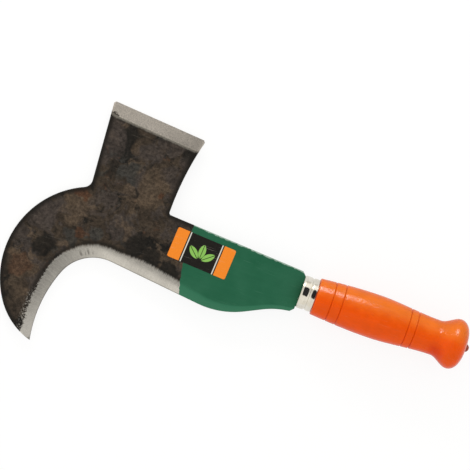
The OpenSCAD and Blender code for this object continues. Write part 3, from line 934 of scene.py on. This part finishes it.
def sampled(chains):
    """Points close together along the chains, each with the length run so far in millimetres."""
    points = []
    for index, chain in enumerate(chains):
        run = index * EDGE_APART
        for start, end in zip(chain, chain[1:]):
            length = (end - start).length * TO_MM
            steps = max(1, math.ceil(length / EDGE_SAMPLE))
            for step in range(steps):
                spot = start.lerp(end, step / steps)
                points.append((Vector((spot.x, spot.y, 0)), run + length * step / steps))
            run += length
    return points


def nearest(points):
    tree = kdtree.KDTree(len(points))
    for index, (spot, _) in enumerate(points):
        tree.insert(spot, index)
    tree.balance()
    return tree


def past_dip_line(place):
    """How far a point lies on the handle's side of the dip line, in millimetres."""
    x, y = place.x * TO_MM, place.y * TO_MM
    line = DIP_X + DIP_LEAN * (y - DIP_Y) + DIP_BOW * (y - DIP_Y) * (y - DIP_BOW_Y)
    return x - line


def rolled_drop(way, rolled):
    """How far a bevel has dropped, as a share, part of the way from its border to its edge."""
    steepest = 1 / (1 - rolled / 2)
    if way < rolled:
        return steepest * way * way / (2 * rolled)
    return 1 - steepest * (1 - way)


def share_at(shares, place):
    """The share at a place, straight between the places that are given."""
    for (low, share), (high, next_share) in zip(shares, shares[1:]):
        if place <= high:
            way = max(0.0, (place - low) / (high - low))
            return share + (next_share - share) * way
    return shares[-1][1]


def along_edge(place):
    """The way along the edge, in millimetres, as the table of rolled shares counts it."""
    x, y = place.x * TO_MM, place.y * TO_MM
    return y + min(STRAIGHT_RUN, max(0.0, x - THROAT_X))


def rolled_lift(vert, grind, width):
    """How far a point of the rolled bevel stands out from a flat one, in metres."""
    leaning = next(face.normal for face in vert.link_faces if face_kind(face) == GROUND)
    drop = math.hypot(leaning.x, leaning.y) / abs(leaning.z) * width
    rolled = share_at(ROLLED_ALONG_EDGE, along_edge(vert.co))
    return math.copysign(drop * (grind - rolled_drop(grind, rolled)), vert.co.z)


def closeness(spot, middle, reach):
    """One at the middle, nought from the reach on."""
    return max(0.0, 1 - (spot - middle).length / reach)


def keep_measures(piece, measures):
    for name, values in measures.items():
        layer = piece.data.attributes.new(name, "FLOAT", "POINT")
        layer.data.foreach_set("value", values)


def put_in_scene(name, data):
    thing = bpy.data.objects.new(name, data)
    bpy.context.scene.collection.objects.link(thing)
    return thing


def finished(name, skin, node, finish):
    mesh = bpy.data.meshes.new(name)
    skin.to_mesh(mesh)
    skin.free()
    mesh.materials.append(finish)
    piece = put_in_scene(name, mesh)
    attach(piece, "root")
    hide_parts(node)
    return piece


def make_blade():
    skin = merged_copy("blade")
    flat_faces_whole(skin)
    kinds = {face: face_kind(face) for face in skin.faces}
    edge_points = sampled(edge_chains(skin, kinds, GROUND, WALL))
    edge_tree = nearest(edge_points)
    border_tree = nearest(sampled(edge_chains(skin, kinds, GROUND, FLAT)))
    outline_tree = nearest(sampled(edge_chains(skin, kinds, EASED, WALL)))

    low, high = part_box("blade")
    grid_cut(skin, low, Vector((TANG_START, high.y, 0)),
             lambda face: face.calc_center_median().x < TANG_START)

    names = ("grind", "edge_run", "from_border", "from_outline", "lacquer_reach", "ragged", "chatter")
    measures = {name: [] for name in names}
    lifts = {}
    for vert in skin.verts:
        spot = Vector((vert.co.x, vert.co.y, 0))
        x, y = spot.x * TO_MM, spot.y * TO_MM
        around = [face_kind(face) for face in vert.link_faces]
        before_tang = spot.x < TANG_START
        _, index, to_edge = edge_tree.find(spot)
        to_border = border_tree.find(spot)[2]
        on_bevel = GROUND in around and FLAT not in around and before_tang
        grind = to_border / (to_border + to_edge) if on_bevel else 0.0
        creeping = share_at(RAGGED_BY_HEIGHT, y)
        corner = CORNER_RAGGED * closeness(spot, CORNER_LEFT, CORNER_REACH)
        measures["grind"].append(grind)
        measures["edge_run"].append(edge_points[index][1])
        measures["from_border"].append(to_border * TO_MM if x < SCALE_END else FAR_FROM_BORDER)
        measures["from_outline"].append(outline_tree.find(spot)[2] * TO_MM)
        measures["lacquer_reach"].append(past_dip_line(spot))
        measures["ragged"].append(max(creeping, corner))
        measures["chatter"].append(closeness(spot, CHATTER, CHATTER_REACH))
        if FLAT in around and before_tang:
            lifts[vert] = forge_wave(spot, UPPER_DRAW if vert.co.z > 0 else UNDER_DRAW)
        elif 0 < grind < 1:
            lifts[vert] = rolled_lift(vert, grind, to_border + to_edge)
    for vert, lift in lifts.items():
        vert.co.z += lift
    smooth_but_for(skin, FACE_CREASE, WALL_CREASE)
    blade = finished("forged_blade", skin, "blade", blade_finish())
    keep_measures(blade, measures)


def make_handle():
    skin = merged_copy("handle")
    triangles_to_quads(skin)
    radii = {}
    for vert in skin.verts:
        place = round(vert.co.x * TO_MM, 2)
        radii[place] = max(radii.get(place, 0), math.hypot(vert.co.y, vert.co.z) * TO_MM)
    stations = sorted(radii)

    def radius_at(x):
        for left, right in zip(stations, stations[1:]):
            if left <= x <= right:
                return radii[left] + (radii[right] - radii[left]) * (x - left) / (right - left)
        return radii[stations[0] if x < stations[0] else stations[-1]]

    scored = []
    for vert in skin.verts:
        x = vert.co.x * TO_MM
        hollow = (radius_at(x - RING_HALF) + radius_at(x + RING_HALF)) / 2 - radius_at(x)
        share = min(1.0, max(0.0, hollow / RING_DEPTH))
        scored.append(share if RINGS_FROM < x < RINGS_TO else 0.0)
    smooth_but_for(skin, HANDLE_CREASE)
    handle = finished("turned_handle", skin, "handle", handle_finish())
    keep_measures(handle, {"scored": scored})
    return handle


def make_ferrule():
    """The tube with its beads pressed flatter and the rear one falling away to the wood."""
    skin = merged_copy("ferrule")
    bead_radius = max(math.hypot(vert.co.y, vert.co.z) for vert in skin.verts) * TO_MM
    for vert in skin.verts:
        x = vert.co.x * TO_MM
        radius = math.hypot(vert.co.y, vert.co.z) * TO_MM
        low = (bead_radius - radius) / BEAD_DEPTH
        if low > 1 + SLACK or not BEADS_FROM < x < FERRULE_BACK - SLACK:
            continue
        fall = FALL * max(0.0, (x - FALL_FROM) / (FERRULE_BACK - FALL_FROM)) ** 2
        flatter = (bead_radius - fall - BEAD_DEPTH * low ** BEAD_FLATNESS) / radius
        vert.co = Vector((vert.co.x, vert.co.y * flatter, vert.co.z * flatter))
    triangles_to_quads(skin)
    smooth_but_for(skin, FERRULE_CREASE)
    finished("nickel_ferrule", skin, "ferrule", ferrule_finish())


def make_label():
    """The label follows the hammer waves of the face that it lies on."""
    low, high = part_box("label")
    centre = (low + high) / 2
    skin = merged_copy("label")
    flat_faces_whole(skin)
    longest = max(skin.edges, key=lambda edge: edge.calc_length())
    run = longest.verts[1].co - longest.verts[0].co
    turn = math.atan2(run.y, run.x)
    turn = (turn + math.pi / 2) % math.pi - math.pi / 2
    grid_cut(skin, low, high, lambda face: True)
    for vert in skin.verts:
        vert.co.z += forge_wave(vert.co, UPPER_DRAW)
    smooth_but_for(skin, LABEL_CREASE)
    middle = (centre.x * TO_MM, centre.y * TO_MM, 0)
    finished("paper_label", skin, "label", label_finish(middle, turn))


def seen_rays(wiring):
    """One for rays that see the stage: straight, in a reflection or through glass."""
    path = wiring.add("ShaderNodeLightPath").outputs
    mirrored = wiring.larger(path["Is Camera Ray"], path["Is Glossy Ray"])
    return wiring.larger(mirrored, path["Is Transmission Ray"])


def floor_paint():
    """Pale paint that glows white where it is seen and still takes the tool's shadow."""
    paint = bpy.data.materials.new("pale_floor")
    wiring = fresh_wiring(paint)
    matt = wiring.add("ShaderNodeBsdfDiffuse", {"Color": FLOOR_PAINT}).outputs[0]
    glow = wiring.add("ShaderNodeEmission", {"Color": WHITE, "Strength": FLOOR_GLOW}).outputs[0]
    shadow = wiring.add("ShaderNodeBsdfDiffuse", {"Color": FLOOR_SHADOW}).outputs[0]
    white = wiring.add("ShaderNodeAddShader", {0: glow, 1: shadow}).outputs[0]
    lit = wiring.add("ShaderNodeMixShader", {0: seen_rays(wiring), 1: matt, 2: white}).outputs[0]
    wiring.add("ShaderNodeOutputMaterial", {"Surface": lit})
    return paint


def lay_floor():
    """A pale floor that touches the handle's swell, the axe and the hook."""
    normal = (AXE_REST - SWELL_REST).cross(HOOK_REST - SWELL_REST).normalized()
    if normal.z < 0:
        normal = -normal
    sheet = bmesh.new()
    bmesh.ops.create_grid(sheet, x_segments=1, y_segments=1, size=FLOOR_SIDE / 2)
    bmesh.ops.rotate(sheet, verts=sheet.verts, cent=(0, 0, 0),
                     matrix=Vector((0, 0, 1)).rotation_difference(normal).to_matrix())
    bmesh.ops.translate(sheet, verts=sheet.verts, vec=SWELL_REST)
    mesh = bpy.data.meshes.new("studio_floor")
    sheet.to_mesh(mesh)
    sheet.free()
    mesh.materials.append(floor_paint())
    floor = put_in_scene("studio_floor", mesh)


def light_tent():
    """A white tent with a dark opening overhead, where the lens looks in."""
    world = bpy.data.worlds.new("white_tent")
    bpy.context.scene.world = world
    wiring = fresh_wiring(world)
    way = wiring.parts(wiring.add("ShaderNodeTexCoord").outputs["Generated"])
    climb = wiring.larger(way["Z"], LOWEST_CLIMB)
    slopes = wiring.joined(wiring.math("DIVIDE", way["X"], climb), wiring.math("DIVIDE", way["Y"], climb))
    inside = wiring.counted_from(slopes, (*OPENING_MIDDLE, 0), -OPENING_TURN, (*OPENING_HALF, 1))
    inside = wiring.parts(inside)
    reach = 0.0
    for axis in "XY":
        share = wiring.math("POWER", wiring.size_of(inside[axis]), OPENING_SQUARENESS)
        reach = wiring.plus(reach, share)
    opening = wiring.ramp(reach, *OPENING_BORDER)
    glow = TENT_BELOW
    for start, full, level in TENT_STEPS:
        glow = wiring.between(wiring.ramp(way["Y"], start, full), glow, level)
    path = wiring.add("ShaderNodeLightPath").outputs
    mirrored = path["Is Glossy Ray"]
    cloth = wiring.mix(mirrored, TENT_CLOTH, wiring.shade(TENT_MIRRORED[:3], glow))
    cloth = wiring.mix(wiring.times(opening, mirrored), cloth, OPENING_TONE)
    colour = wiring.mix(path["Is Camera Ray"], cloth, WHITE)
    ground = wiring.add("ShaderNodeBackground", {"Color": colour, "Strength": 1.0})
    wiring.add("ShaderNodeOutputWorld", {"Surface": ground.outputs[0]})


def soft_box(name, at, size, power, colour, sheen_on=None):
    """A lamp that faces the tool. With sheen_on it only gives that piece its sheen."""
    lamp = bpy.data.lights.new(name, "AREA")
    lamp.shape = "RECTANGLE"
    lamp.size, lamp.size_y = size
    lamp.energy = power
    lamp.color = colour
    box = put_in_scene(name, lamp)
    box.location = at
    box.rotation_euler = (PICTURE_CENTRE - at).to_track_quat("-Z", "Y").to_euler()
    if sheen_on:
        lit = bpy.data.collections.new(name + "_lights")
        lit.objects.link(sheen_on)
        box.light_linking.receiver_collection = lit
        box.visible_diffuse = False


def set_camera():
    lens = bpy.data.cameras.new("top_camera")
    lens.lens = LENS
    lens.sensor_width = SENSOR
    lens.clip_end = SIGHT_LIMIT
    camera = put_in_scene("top_camera", lens)
    height = PICTURE_WIDTH * LENS / SENSOR
    aim = Matrix.Rotation(-PICTURE_LEAN, 3, "Y") @ Matrix.Rotation(PICTURE_TURN, 3, "Z")
    camera.location = PICTURE_CENTRE + aim @ Vector((0, 0, height))
    camera.rotation_euler = aim.to_euler()
    bpy.context.scene.camera = camera


make_blade()
handle = make_handle()
make_ferrule()
make_label()
lay_floor()
light_tent()
soft_box("strip_light", **STRIP_LIGHT)
soft_box("window_sheen", **WINDOW_SHEEN, sheen_on=handle)
set_camera()
bpy.context.scene.view_settings.view_transform = "Standard"
